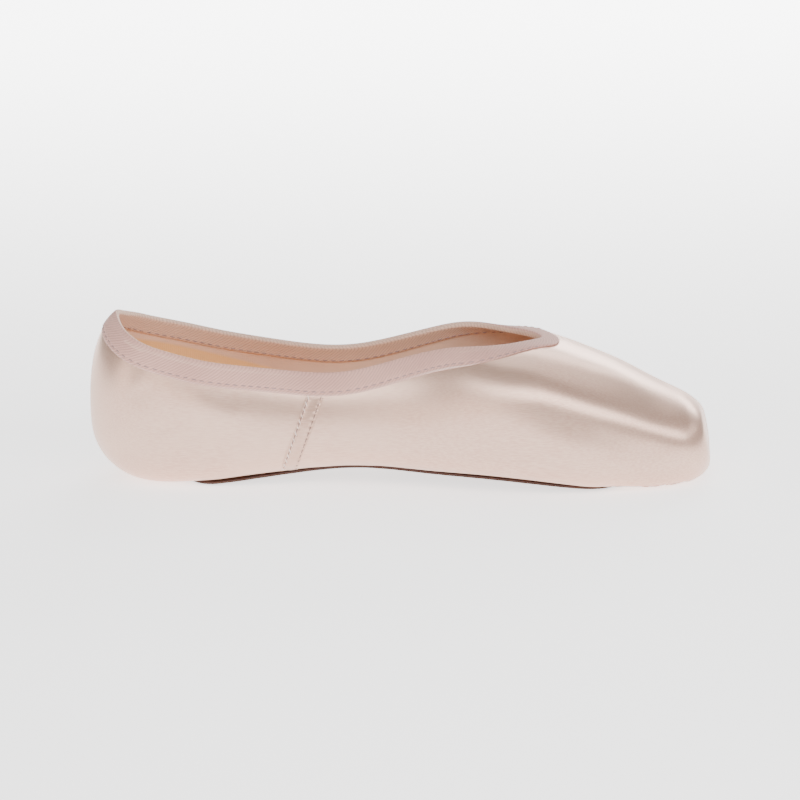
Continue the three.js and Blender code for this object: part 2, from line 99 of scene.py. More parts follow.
# %% lay the floor
FLOOR_SIDE = 8
GLOW_NEAR = 1.7
GLOW_FAR = 6.0
GLOW_RISES_OVER = 1.1
bpy.ops.mesh.primitive_plane_add(size=FLOOR_SIDE, location=(0, 0, 0))
floor = bpy.context.object
floor.name = "floor"
paper = bpy.data.materials.new("white_table")
paper.use_nodes = True
paper_shader = paper.node_tree.nodes["Principled BSDF"]
paper_shader.inputs["Base Color"].default_value = (0.9, 0.9, 0.9, 1)
paper_shader.inputs["Roughness"].default_value = 0.8
paper_shader.inputs["Specular IOR Level"].default_value = 0.2
paper_shader.inputs["Emission Color"].default_value = (1, 1, 1, 1)
place = paper.node_tree.nodes.new("ShaderNodeTexCoord")
parts = paper.node_tree.nodes.new("ShaderNodeSeparateXYZ")
glow = paper.node_tree.nodes.new("ShaderNodeMapRange")
glow.interpolation_type = "SMOOTHSTEP"
glow.inputs["From Min"].default_value = 0.0
glow.inputs["From Max"].default_value = GLOW_RISES_OVER
glow.inputs["To Min"].default_value = GLOW_NEAR
glow.inputs["To Max"].default_value = GLOW_FAR
paper.node_tree.links.new(place.outputs["Object"], parts.inputs[0])
paper.node_tree.links.new(parts.outputs["Y"], glow.inputs["Value"])
paper.node_tree.links.new(glow.outputs["Result"], paper_shader.inputs["Emission Strength"])
floor.data.materials.append(paper)
print("floor of", floor.dimensions.x, "metres")


# %% hang the lights
LIGHT_AIM = Vector((20 * MM, 0, 25 * MM))
WHITE = (1.0, 1.0, 1.0)
WARM = (1.0, 0.88, 0.8)


def soft_box(name, azimuth, elevation, distance, width, height, power, tint):
    """A soft box aimed at the shoe. The azimuth is 0 on the photographer's side and 90 degrees at the toe."""
    a = math.radians(azimuth)
    e = math.radians(elevation)
    away = Vector((math.sin(a) * math.cos(e), -math.cos(a) * math.cos(e), math.sin(e)))
    bpy.ops.object.light_add(type="AREA", location=LIGHT_AIM + away * distance)
    light = bpy.context.object
    light.name = name
    light.rotation_euler = away.to_track_quat("Z", "Y").to_euler()
    light.data.shape = "RECTANGLE"
    light.data.size = width
    light.data.size_y = height
    light.data.energy = power
    light.data.color = tint


# Name, azimuth and elevation in degrees, distance, width and height in metres, power in watts, tint.
SOFT_BOXES = [
    ("front_strip", 20, 35, 1.0, 1.5, 0.42, 11, WHITE),
    ("toe_strip", 88, 27, 1.0, 1.0, 0.2, 1.2, WHITE),
    ("overhead_box", 176, 72, 1.3, 1.6, 0.8, 6, WHITE),
    ("back_box", 166, 18, 1.6, 1.2, 0.3, 14, WHITE),
    ("high_back_box", 170, 42, 1.6, 1.0, 0.5, 8, WHITE),
    ("quarter_box", -24, 8, 1.4, 0.45, 0.4, 1.6, WARM),
    ("heel_box", -60, 8, 1.4, 0.45, 0.4, 1.8, WARM),
]
for box in SOFT_BOXES:
    soft_box(*box)

world = bpy.data.worlds.new("studio")
world.use_nodes = True
world.node_tree.nodes["Background"].inputs["Color"].default_value = (1.0, 0.95, 0.92, 1)
world.node_tree.nodes["Background"].inputs["Strength"].default_value = 0.22
bpy.context.scene.world = world


# %% [markdown]
# ## Helpers for shapes
#
# Every soft piece starts as a copy of its CAD solid, because that already has the true shape of the last. The copy
# is a loose heap of triangles, so its corners are welded and its triangles are paired into quads, which subdivide
# smoothly. Everything is deselected first, since an operator acts on all that is selected.

# %% copy, weld and select
def only(piece):
    """Select this piece and nothing else."""
    bpy.ops.object.select_all(action="DESELECT")
    piece.select_set(True)
    bpy.context.view_layer.objects.active = piece


def welded_copy(node_name, piece_name):
    """A copy of a CAD node with its corners welded and its triangles paired into quads."""
    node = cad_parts[node_name]
    piece = bpy.data.objects.new(piece_name, node.data.copy())
    bpy.context.scene.collection.objects.link(piece)
    piece.data.materials.clear()
    only(piece)
    bpy.ops.object.mode_set(mode="EDIT")
    bpy.ops.mesh.select_all(action="SELECT")
    bpy.ops.mesh.remove_doubles(threshold=0.002 * MM)
    bpy.ops.mesh.tris_convert_to_quads(face_threshold=math.radians(70), shape_threshold=math.radians(70))
    bpy.ops.mesh.select_all(action="DESELECT")
    bpy.ops.object.mode_set(mode="OBJECT")
    print(piece_name, len(piece.data.vertices), "corners", len(piece.data.polygons), "faces")
    return piece


def subdivide(piece, levels):
    """Smooth a piece with a subdivision surface and keep the result."""
    only(piece)
    smooth = piece.modifiers.new("smooth", "SUBSURF")
    smooth.levels = levels
    smooth.render_levels = levels
    bpy.ops.object.modifier_apply(modifier=smooth.name)
    print(piece.name, "has", len(piece.data.polygons), "faces")


def corners(piece):
    """All corners of a piece as an array, one row each."""
    found = np.zeros(len(piece.data.vertices) * 3)
    piece.data.vertices.foreach_get("co", found)
    return found.reshape(-1, 3)


def corner_normals(piece):
    """The surface direction at every corner, one row each."""
    found = np.zeros(len(piece.data.vertices) * 3)
    piece.data.vertices.foreach_get("normal", found)
    return found.reshape(-1, 3)


def set_corners(piece, rows):
    """Move the corners of a piece to these places."""
    piece.data.vertices.foreach_set("co", rows.reshape(-1))
    piece.data.update()


def smooth_step(x, start, end):
    """0 before start, 1 after end, and an even slope between them."""
    t = np.clip((x - start) / (end - start), 0, 1)
    return t * t * (3 - 2 * t)


print("a quarter of the way up the smooth step:", round(float(smooth_step(0.25, 0, 1)), 3))


# %% [markdown]
# ## Helpers for finishes
#
# A finish is a small tree of nodes. These helpers add a node, set its sockets and join it to others in one line, so
# that each finish below reads like a recipe.

# %% a few words for building finishes
class Finish:
    """A material with short words for the nodes that this shoe's finishes are made of."""

    def __init__(self, name, **sockets):
        self.material = bpy.data.materials.new(name)
        self.material.use_nodes = True
        self.tree = self.material.node_tree
        self.shader = self.tree.nodes["Principled BSDF"]
        for socket, value in sockets.items():
            self.shader.inputs[socket.replace("_", " ")].default_value = value

    def add(self, kind, inputs=None, **settings):
        """Add a node; its inputs are values or the outputs of other nodes."""
        node = self.tree.nodes.new("ShaderNode" + kind)
        for setting, value in settings.items():
            setattr(node, setting, value)
        for socket, value in (inputs or {}).items():
            if isinstance(value, bpy.types.NodeSocket):
                self.tree.links.new(value, node.inputs[socket])
            else:
                node.inputs[socket].default_value = value
        return node

    def place(self):
        """The place on the piece, in metres."""
        return self.add("TexCoord").outputs["Object"]

    def stretched(self, scale, turned=(0, 0, 0)):
        """The place on the piece, stretched and turned."""
        return self.add("Mapping", {0: self.place(), "Rotation": turned, "Scale": scale}).outputs[0]

    def cloud(self, vector, scale, detail=2.0, roughness=0.5):
        """Soft random patches from 0 to 1."""
        inputs = {"Vector": vector, "Scale": scale, "Detail": detail, "Roughness": roughness}
        return self.add("TexNoise", inputs).outputs["Fac"]

    def math(self, operation, a, b=0.0, c=0.0):
        """One sum on two or three values."""
        return self.add("Math", {0: a, 1: b, 2: c}, operation=operation).outputs[0]

    def span(self, value, low, high, to_low, to_high):
        """Stretch a value from one range to another, with soft ends."""
        inputs = {"Value": value, "From Min": low, "From Max": high, "To Min": to_low, "To Max": to_high}
        return self.add("MapRange", inputs, interpolation_type="SMOOTHSTEP").outputs[0]

    def blend(self, share, first, second):
        """A colour between two colours."""
        inputs = {0: share, 6: first, 7: second}
        return self.add("Mix", inputs, data_type="RGBA").outputs[2]

    def bump(self, height, distance, strength=1.0, under=None):
        """Relief of this height in metres, on top of another relief if there is one."""
        inputs = {"Height": height, "Distance": distance, "Strength": strength}
        if under is not None:
            inputs["Normal"] = under
        return self.add("Bump", inputs).outputs[0]

    def finish(self, **links):
        """Join outputs to the shader's sockets."""
        for socket, value in links.items():
            self.tree.links.new(value, self.shader.inputs[socket.replace("_", " ")])
        return self.material


def colour(red, green, blue):
    """A colour as read off a screen, 0 to 255, as the light that it stands for."""
    linear = [((c / 255 + 0.055) / 1.055) ** 2.4 for c in (red, green, blue)]
    return (*linear, 1)


print("a screen grey of 128 is this much light:", round(colour(128, 128, 128)[0], 3))


# %% [markdown]
# ## Satin
#
# Pointe shoes are covered in a heavy satin. Its threads float over the cloth side by side, so it has a gloss that is
# stretched along one direction, and the colour hardly changes. The finish is one rough, stretched gloss with a little
# sheen. Cloth isn't metal, but this finish is partly metallic all the same, because only that mirrors the lights
# strongly enough, and in the satin's own pink, to give the picture's contrast between streak and shade. The relief
# has three layers: the pasted cloth under it isn't quite flat, the floats make long fine lines, and a last, finest
# layer breaks up the gloss. The crease of the lip under the toe gets painted shade, from an attribute made with the
# pleats.

# %% satin finish
def satin_finish(name, painted_shade_steps=0):
    """The satin, or a copy whose colours are darker by this many steps of a screen's 255, as painted shade."""

    def tone(red, green, blue):
        return colour(red - painted_shade_steps, green - painted_shade_steps, blue - painted_shade_steps)

    satin = Finish(
        name,
        Roughness=0.33,
        IOR=1.8,
        Metallic=0.65,
        Anisotropic=0.4,
        Anisotropic_Rotation=0.25,
        Specular_IOR_Level=0.6,
        Sheen_Weight=0.03,
        Sheen_Roughness=0.4,
    )
    place = satin.place()
    patches = satin.cloud(place, 28, 3.0)
    floats = satin.cloud(satin.stretched((300, 2600, 2600)), 1.0, 2.0)
    ground = satin.blend(satin.span(patches, 0.35, 0.65, 0, 1), tone(224, 184, 163), tone(217, 173, 152))
    shade = satin.blend(satin.span(floats, 0.3, 0.7, 0, 1), ground, tone(230, 193, 173))
    # Along the crease of the lip under the toe the satin is painted dark: painted shade.
    lip_painted_shade = satin.add("Attribute", attribute_name="lip_painted_shade", attribute_type="GEOMETRY").outputs["Fac"]
    shade = satin.blend(lip_painted_shade, shade, colour(150, 108, 96))
    hollows = satin.bump(satin.cloud(place, 45, 2.0), 0.5 * MM, 0.3)
    lines = satin.bump(floats, 0.03 * MM, 0.2, hollows)
    grain = satin.bump(satin.cloud(place, 2800, 1.0), 0.02 * MM, 0.25, lines)
    tangent = satin.add("Tangent", direction_type="RADIAL", axis="X").outputs[0]
    return satin.finish(Base_Color=shade, Normal=grain, Tangent=tangent)


satin = satin_finish("satin")
print("satin has", len(satin.node_tree.nodes), "nodes")


# %% [markdown]
# ## Cotton lining
#
# Inside, the shoe is lined with a plain, matt cotton in a warm tan pink. It is woven one over one, so two crossed
# sets of waves give its threads, and soft patches keep it from looking new and flat. Low at the heel a more orange
# sock covers the lining, up to a line that falls towards the toe.

# %% lining finish
SOCK_FALL = -0.265
SOCK_HEIGHT_AT_MIDDLE = 21 * MM
SOCK_EDGE = 0.8 * MM


def lining_finish(name, first, second, heel_sock=None):
    """Cotton in patches of two colours, with the colour of the heel's sock if it has one."""
    cotton = Finish(name, Roughness=0.9, Specular_IOR_Level=0.2, Sheen_Weight=0.25, Sheen_Roughness=0.6)
    place = cotton.place()
    along = cotton.add("TexWave", {"Vector": place, "Scale": 420, "Distortion": 1.5}, bands_direction="X").outputs[1]
    across = cotton.add("TexWave", {"Vector": place, "Scale": 420, "Distortion": 1.5}, bands_direction="Z").outputs[1]
    weave = cotton.math("MULTIPLY", along, across)
    patches = cotton.cloud(place, 35, 3.0)
    shade = cotton.blend(cotton.span(patches, 0.3, 0.7, 0, 1), first, second)
    if heel_sock:
        spot = cotton.add("SeparateXYZ", {0: place})
        top_of_sock = cotton.math("MULTIPLY_ADD", spot.outputs[0], SOCK_FALL, SOCK_HEIGHT_AT_MIDDLE)
        above = cotton.math("SUBTRACT", spot.outputs[2], top_of_sock)
        shade = cotton.blend(cotton.span(above, -SOCK_EDGE, SOCK_EDGE, 1, 0), shade, heel_sock)
    waves = cotton.bump(patches, 0.8 * MM, 0.4)
    threads = cotton.bump(weave, 0.12 * MM, 0.5, waves)
    return cotton.finish(Base_Color=shade, Normal=threads)


lining = lining_finish("cotton_lining", colour(244, 208, 184), colour(236, 196, 170), colour(250, 200, 138))
print("lining has", len(lining.node_tree.nodes), "nodes")


# %% [markdown]
# ## The upper
#
# The upper is a wall of satin, paste and cotton that closes at the toe and is open at the top and under the foot.
# The solid already has that wall, so the copy only needs to become smooth. A subdivision surface would round its
# open rims away, so the sharp edges there are creased first, and the rim of the top line is kept as a ring of
# points, because the tape and its stitches will follow it.

# %% find rings and creases
def crease_sharp_edges(piece, least_angle, weight, keep=lambda middle: True):
    """Crease the sharp edges of a piece and return its closed rings of them, longest first."""
    mesh = bmesh.new()
    mesh.from_mesh(piece.data)
    creases = mesh.edges.layers.float.new("crease_edge")
    sharp = {}
    for edge in mesh.edges:
        if edge.is_manifold and edge.calc_face_angle() > least_angle:
            if keep((edge.verts[0].co + edge.verts[1].co) / 2):
                edge[creases] = weight
                sharp[edge.index] = edge
    rings = []
    while sharp:
        first = sharp.pop(min(sharp))
        ring = [first.verts[0], first.verts[1]]
        onward = True
        while onward:
            onward = [e for e in ring[-1].link_edges if e.index in sharp]
            if onward:
                sharp.pop(onward[0].index)
                ring.append(onward[0].other_vert(ring[-1]))
        if ring[0] == ring[-1]:
            rings.append(np.array([v.co[:] for v in ring[:-1]]))
    mesh.to_mesh(piece.data)
    mesh.free()
    lengths = [np.linalg.norm(ring - np.roll(ring, -1, 0), axis=1).sum() for ring in rings]
    order = sorted(range(len(rings)), key=lambda i: -lengths[i])
    print(piece.name, "rings in mm", [round(lengths[i] / MM) for i in order][:4])
    return [rings[i] for i in order]


upper = welded_copy("upper", "satin_upper")
TOE_POLE = 105 * MM
upper_rings = crease_sharp_edges(upper, math.radians(50), 0.9, lambda middle: middle.x < TOE_POLE)
subdivide(upper, 2)


# %% follow the top line
def smooth_ring(ring, count):
    """A closed ring of points as a smooth curve with this many points, from the heel round the near side."""
    start = int(np.argmin(ring[:, 0]))
    ring = np.roll(ring, -start, 0)
    if ring[1, 1] > ring[-1, 1]:
        ring = np.roll(ring[::-1], 1, 0)
    before, after, later = np.roll(ring, 1, 0), np.roll(ring, -1, 0), np.roll(ring, -2, 0)
    t = np.linspace(0, 1, 21)[:-1, None, None]
    curve = 0.5 * (
        2 * ring
        + (after - before) * t
        + (2 * before - 5 * ring + 4 * after - later) * t**2
        + (3 * ring - before - 3 * after + later) * t**3
    )
    curve = curve.transpose(1, 0, 2).reshape(-1, 3)
    gaps = np.linalg.norm(np.roll(curve, -1, 0) - curve, axis=1)
    at = np.concatenate([[0], np.cumsum(gaps)])
    closed = np.vstack([curve, curve[:1]])
    wanted = np.linspace(0, at[-1], count, endpoint=False)
    return np.column_stack([np.interp(wanted, at, closed[:, k]) for k in range(3)]), at[-1]


RIM_POINTS = 900
outer_rim, RIM_LENGTH = smooth_ring(upper_rings[0], RIM_POINTS)
inner_rim, _ = smooth_ring(upper_rings[1], RIM_POINTS)
print("top line", round(RIM_LENGTH / MM), "mm round")


# %% [markdown]
# ## Inside and outside of the upper
#
# One mesh holds both skins, so its faces have to be told apart before the satin goes on one and the cotton on the
# other. Each section of the shoe is a rounded tube about a line along the middle of the foot. A corner that looks
# away from that line is on the outside.

# %% tell the skins apart
MIDDLE_STATIONS = np.array([-88, -40, 20, 60, 92]) * MM
MIDDLE_HEIGHTS = np.array([30, 26, 26, 22, 15]) * MM


def faces_away(points, normals):
    """How far each point of the upper looks away from the line along the middle of the foot."""
    along = np.clip(points[:, 0], MIDDLE_STATIONS[0], MIDDLE_STATIONS[-1])
    height = np.interp(along, MIDDLE_STATIONS, MIDDLE_HEIGHTS)
    middle = np.column_stack([along, np.zeros(len(points)), height])
    away = points - middle
    away /= np.linalg.norm(away, axis=1)[:, None] + 1e-9
    return (away * normals).sum(1)


outside = smooth_step(faces_away(corners(upper), corner_normals(upper)), 0.0, 0.25)
print("outside share of the upper", round(float(outside.mean()), 2))


# %% [markdown]
# ## Soft forms of the satin
#
# The box of a pointe shoe is moulded by hand, so its side isn't one even curve. In the picture a soft ridge runs from
# under the tape to the corner of the platform, with a shallow hollow above and below it, and the quarter behind the
# seam has slight dents where only cloth and paste hold it. Each form is a line through a few points in the shoe's own
# sizes, with a height and a width, and the satin moves along its own direction by a soft bell round that line.

# %% ridges and hollows
def distance_to_line(points, line):
    """The distance of each point from a line through a few points, and its share of the way along."""
    nearest = np.full(len(points), 1e9)
    share = np.zeros(len(points))
    line = np.array(line) * MM
    for i in range(len(line) - 1):
        start, step = line[i], line[i + 1] - line[i]
        t = np.clip(((points - start) @ step) / (step @ step), 0, 1)
        gap = np.linalg.norm(points - start - t[:, None] * step, axis=1)
        closer = gap < nearest
        nearest[closer] = gap[closer]
        share[closer] = (i + t[closer]) / (len(line) - 1)
    return nearest, share


def mould(piece, mask, line, height, width):
    """Raise or sink the satin along a line and its mirror image, fading out at the line's two ends."""
    points, normals = corners(piece), corner_normals(piece)
    moved = np.zeros(len(points))
    for side in (1, -1):
        gap, share = distance_to_line(points, [(x, y * side, z) for x, y, z in line])
        ends = smooth_step(share, 0, 0.25) * (1 - smooth_step(share, 0.8, 1))
        moved = np.maximum(moved, np.exp(-((gap / (width * MM)) ** 2)) * ends)
    set_corners(piece, points + normals * (moved * mask * height * MM)[:, None])
    print("moulded a line of", len(line), "points by", height, "mm")


BOX_RIDGE = [
    (29, -28.5, 44.8),
    (51, -32.9, 39.9),
    (62, -32.5, 36.7),
    (84, -29, 29.9),
    (106, -23.5, 20.5),
    (114, -20, 16.3),
]
BOX_HOLLOW = [(40, -18, 53), (62, -22.2, 47.2), (76.8, -22.7, 40.8), (91.5, -20.1, 34.2), (106.3, -18.3, 26.7)]
LOWER_HOLLOW = [(48, -33.6, 38), (62, -34.6, 30.8), (77, -33.3, 24), (92, -29.8, 17.8), (106, -25, 13)]
HEM_RIDGE = [(-34, -19, 9), (-20, -18.5, 10), (-4, -18.5, 10)]
mould(upper, outside, BOX_RIDGE, 0.3, 6)
mould(upper, outside, BOX_HOLLOW, -0.4, 8)
mould(upper, outside, LOWER_HOLLOW, -0.35, 6)
mould(upper, outside, HEM_RIDGE, 0.3, 2.2)
QUARTER_DENTS = [
    ([(-96, -24, 44), (-88, -25.5, 33), (-84, -26, 22)], -0.4, 6),
    ([(-80, -26, 40), (-66, -27, 33), (-56, -27, 28)], 0.35, 6),
    ([(-70, -27.5, 22), (-58, -27.5, 16), (-48, -26, 12)], -0.3, 6),
    ([(-104, -20, 30), (-98, -23, 18), (-88, -24, 12)], 0.3, 5),
]
for line, height, width in QUARTER_DENTS:
    mould(upper, outside, line, height, width)


# %% [markdown]
# ## Pleats under the toe
#
# The satin that covers the platform has too much cloth for the flat underside, so the maker lays it in pleats that
# fan out from the front of the outsole. Every pleat is a long flat slope and a short steep step, which is a sawtooth
# wave in the angle round a point under the ball of the foot. They begin at a lip round the underside of the toe.

# %% lay the pleats
PLEAT_CENTRE = 62 * MM
PLEATS_ROUND = 44
PLEAT_DEPTH = 0.8 * MM
LONG_SLOPE = 0.8
SHORT_STEP = 0.2
LIP_HEIGHT = 1.3 * MM
LIP_DEPTH = 0.4 * MM
LIP_WIDTH = 0.7 * MM
LIP_PAINTED_SHADE = 0.75
points, normals = corners(upper), corner_normals(upper)
turned = np.arctan2(points[:, 1], points[:, 0] - PLEAT_CENTRE) / (2 * math.pi) * PLEATS_ROUND
wobble = 0.35 * np.sin(turned * 1.7) + 0.2 * np.sin(turned * 3.1 + 1)
saw = (turned + wobble) % 1.0
pleat = np.where(saw < LONG_SLOPE, saw / LONG_SLOPE, (1 - saw) / SHORT_STEP)
stations = np.arange(66, 119) * MM
undersides = [points[(outside > 0.5) & (np.abs(points[:, 0] - at) < 1.5 * MM), 2].min() for at in stations]
above_lip = points[:, 2] - np.interp(points[:, 0], stations, undersides) - LIP_HEIGHT
slope = np.sqrt(np.clip(1 - normals[:, 2] ** 2, 0.05, 1))
in_front = smooth_step(points[:, 0], 74 * MM, 86 * MM) * outside * (normals[:, 2] < 0.3)
under_toe = smooth_step(-above_lip, 0, 0.8 * MM) * in_front
under_toe *= smooth_step(np.hypot(points[:, 0] - PLEAT_CENTRE, points[:, 1]), 14 * MM, 22 * MM)
lip_line = np.exp(-((above_lip / slope / LIP_WIDTH) ** 2)) * in_front
sunk = pleat * under_toe * PLEAT_DEPTH + lip_line * LIP_DEPTH
set_corners(upper, points - normals * sunk[:, None])
# The lip's line is also kept for the satin, which paints it dark as painted shade in the crease.
lip_painted_shade = upper.data.attributes.new("lip_painted_shade", "FLOAT", "POINT")
lip_painted_shade.data.foreach_set("value", (LIP_PAINTED_SHADE * lip_line).astype(np.float32))
print("corners in pleats", int((under_toe * outside > 0.5).sum()))


# %% dress the upper
upper.data.materials.append(satin)
upper.data.materials.append(lining)
centres = np.array([p.center[:] for p in upper.data.polygons])
looks = np.array([p.normal[:] for p in upper.data.polygons])
inner_faces = (faces_away(centres, looks) < 0.05).astype(int)
upper.data.polygons.foreach_set("material_index", inner_faces)
only(upper)
bpy.ops.object.shade_smooth()
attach(upper, "root")
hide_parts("upper")
print("satin faces", int((inner_faces == 0).sum()), "lining faces", int(inner_faces.sum()))


# %% [markdown]
# ## The tape round the top line
#
# The top line is bound with a ribbed tape, folded over the edge and stitched through. The copy of its solid is
# smoothed, and then every corner gets two coordinates in millimetres: how far round the top line it lies, and how
# deep below the fold, with the inside counted as less than zero. They are kept as the piece's UV map, so ribs and
# a soft channel under the thread follow the tape.

# %% smooth the tape and measure it
FOLD_REACH = 2.5 * MM
TAPE_SOLID_GAP = 0.45 * MM
TAPE_GAP = 0.06 * MM
tape = welded_copy("collar_binding", "binding_tape")
crease_sharp_edges(tape, math.radians(70), 0.55)
subdivide(tape, 2)


def press_on(piece, ground, solid_gap, gap, shares):
    """Press a piece onto the one under it: it keeps this small gap and a share of its own thickness."""
    tree = BVHTree.FromObject(ground, bpy.context.evaluated_depsgraph_get())
    pressed = []
    for point, share in zip(corners(piece), shares):
        point = Vector(point)
        near, _, _, away = tree.find_nearest(point)
        wanted = gap + max(away - solid_gap, 0) * share
        pressed.append(near + (point - near) * (wanted / max(away, 1e-6)))
    set_corners(piece, np.array(pressed))
    print(piece.name, "pressed onto", ground.name)


def nearest_on_rim(points, rim):
    """The number of the nearest rim point to each point, and the distance to it."""
    number = np.zeros(len(points), int)
    gap = np.zeros(len(points))
    for start in range(0, len(points), 2000):
        part = points[start : start + 2000]
        far = np.linalg.norm(part[:, None, :] - rim[None], axis=2)
        number[start : start + 2000] = far.argmin(1)
        gap[start : start + 2000] = far.min(1)
    return number, gap


points = corners(tape)
rim_number, outer_gap = nearest_on_rim(points, outer_rim)
_, inner_gap = nearest_on_rim(points, inner_rim)
round_mm = rim_number / RIM_POINTS * RIM_LENGTH / MM
upper_tree = BVHTree.FromObject(upper, bpy.context.evaluated_depsgraph_get())
nearest = [upper_tree.find_nearest(Vector(point)) for point in points]
on_outside = faces_away(np.array([n[0][:] for n in nearest]), np.array([n[1][:] for n in nearest])) > 0
at_fold = np.minimum(outer_gap, inner_gap) < FOLD_REACH
outer_leg = np.where(at_fold, outer_gap < inner_gap, on_outside)
deep_mm = np.where(outer_leg, outer_gap, -inner_gap) / MM
wall = np.linalg.norm(outer_rim - inner_rim, axis=1)[rim_number]
over_fold = np.where(at_fold, np.clip((inner_gap - outer_gap) / wall, -1, 1), np.where(outer_leg, 1.0, -1.0))
thinner_at_hem = 0.6 - 0.4 * smooth_step(deep_mm, 6.6, 8.2)
press_on(tape, upper, TAPE_SOLID_GAP, TAPE_GAP, thinner_at_hem)
crown = tape.data.attributes.new("over_fold", "FLOAT", "POINT")
crown.data.foreach_set("value", over_fold.astype(np.float32))
print("tape depth from", round(float(deep_mm.min()), 1), "to", round(float(deep_mm.max()), 1), "mm")


# %% keep the tape's coordinates as its UV map
uv = tape.data.uv_layers.new(name="along_tape")
ROUND_MM = RIM_LENGTH / MM
for face in tape.data.polygons:
    here = round_mm[list(face.vertices)]
    wraps = here.max() - here.min() > ROUND_MM / 2
    for loop, vertex in zip(face.loop_indices, face.vertices):
        along = round_mm[vertex]
        if wraps and along < ROUND_MM / 2:
            along += ROUND_MM
        uv.data[loop].uv = (along, deep_mm[vertex])
print("tape is", round(ROUND_MM), "mm round")


# %% [markdown]
# ## Finish of the tape
#
# The ribs of the tape slant up towards the toe on the near side. A sine wave of the two coordinates gives them, both
# as relief and as painted shade that darkens the grooves between them. The number of ribs is a whole one, so that
# they meet where the tape's ends meet. The fold is painted lighter, a painted highlight where the ribs are stretched
# open and catch the light, and a thin line at the hem gets a painted highlight too, which grows clearer towards the
# toe.

# %% tape finish
RIB_PITCH_MM = 1.42
RIB_RISE_MM = 1.25
OUTER_ROW_MM = 7.1
INNER_ROW_MM = -5.9
RIBS_ROUND = round(ROUND_MM / RIB_PITCH_MM)

ribbed = Finish("ribbed_tape", Roughness=0.72, Specular_IOR_Level=0.3, Sheen_Weight=0.2, Sheen_Roughness=0.5)
coordinates = ribbed.add("UVMap", uv_map="along_tape").outputs[0]
parts = ribbed.add("SeparateXYZ", {0: coordinates})
along, deep = parts.outputs[0], parts.outputs[1]
turns = ribbed.math("MULTIPLY_ADD", along, RIBS_ROUND / ROUND_MM, ribbed.math("MULTIPLY", deep, 1 / RIB_RISE_MM))
ribs = ribbed.math("MULTIPLY_ADD", ribbed.math("SINE", ribbed.math("MULTIPLY", turns, 2 * math.pi)), 0.5, 0.5)
place = ribbed.place()
patches = ribbed.cloud(place, 60, 3.0)
fuzz = ribbed.cloud(place, 2500, 1.0)
from_row = ribbed.math("ABSOLUTE", ribbed.math("SUBTRACT", deep, OUTER_ROW_MM))
channel = ribbed.span(from_row, 0.0, 1.0, 0.0, 1.0)
over = ribbed.add("Attribute", attribute_name="over_fold", attribute_type="GEOMETRY").outputs["Fac"]
# Round the fold the tape is painted lighter: a painted highlight where the stretched ribs catch the light.
fold_painted_highlight = ribbed.span(ribbed.math("ABSOLUTE", ribbed.math("SUBTRACT", over, 0.25)), 0.05, 0.5, 1.0, 0.0)
outer_side = ribbed.span(over, 0.0, 0.5, 0.0, 1.0)
spot = ribbed.add("SeparateXYZ", {0: place})
# A thin line at the hem is painted lighter, more so towards the toe: a painted highlight.
at_hem = ribbed.span(deep, 7.9, 8.3, 0.0, 1.0)
hem_painted_highlight = ribbed.math("MULTIPLY", at_hem, ribbed.span(spot.outputs[0], 0.0, 50 * MM, 0.15, 0.9))
tone = ribbed.blend(ribbed.span(patches, 0.3, 0.7, 0, 1), colour(222, 174, 160), colour(212, 164, 151))
inside_tone = ribbed.blend(patches, colour(240, 204, 182), colour(232, 194, 170))
sided = ribbed.blend(outer_side, inside_tone, tone)
# The grooves between the ribs are painted darker: painted shade.
rib_tone_with_painted_shade = ribbed.blend(ribbed.span(ribs, 0.0, 0.6, 0.3, 0.0), sided, colour(156, 112, 104))
# The fold's painted highlight is blended in here, then the hem's.
tape_tone_with_painted_highlights = ribbed.blend(ribbed.math("MULTIPLY", fold_painted_highlight, 0.6), rib_tone_with_painted_shade, colour(240, 206, 184))
tape_tone_with_painted_highlights = ribbed.blend(hem_painted_highlight, tape_tone_with_painted_highlights, colour(248, 228, 220))
relief = ribbed.bump(channel, 0.3 * MM, 0.6)
relief = ribbed.bump(ribs, 0.14 * MM, 0.7, relief)
relief = ribbed.bump(fuzz, 0.04 * MM, 0.4, relief)
tape.data.materials.append(ribbed.finish(Base_Color=tape_tone_with_painted_highlights, Normal=relief))
only(tape)
bpy.ops.object.shade_smooth()
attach(tape, "root")
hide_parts("collar_binding")
print(RIBS_ROUND, "ribs round the tape")


# %% [markdown]
# ## Stitches
#
# A lock stitch shows as a row of short threads that dip into the cloth at both ends. One stitch is modelled from a
# small ball that is drawn out and whose two ends are pressed down. It has few faces, because there are hundreds.
# Its copies are joined into one mesh a row, each set on the surface and turned along its row.

# %% model one stitch
STITCH_LENGTH = 2.2 * MM
THREAD = 0.42 * MM
bpy.ops.object.select_all(action="DESELECT")
bpy.ops.mesh.primitive_uv_sphere_add(segments=8, ring_count=6, radius=0.5)
stitch = bpy.context.object
bpy.ops.object.mode_set(mode="EDIT")
bpy.ops.mesh.select_all(action="SELECT")
bpy.ops.transform.rotate(value=math.pi / 2, orient_axis="Y", center_override=(0, 0, 0))
bpy.ops.transform.resize(value=(STITCH_LENGTH, THREAD, THREAD), center_override=(0, 0, 0))
bpy.ops.object.mode_set(mode="OBJECT")
ENDS_DIP = 0.35
STITCH_CORNERS = corners(stitch)
STITCH_CORNERS[:, 2] -= ENDS_DIP * THREAD * (2 * STITCH_CORNERS[:, 0] / STITCH_LENGTH) ** 4
STITCH_FACES = [list(p.vertices) for p in stitch.data.polygons]
bpy.data.objects.remove(stitch)
print("one stitch has", len(STITCH_FACES), "faces")


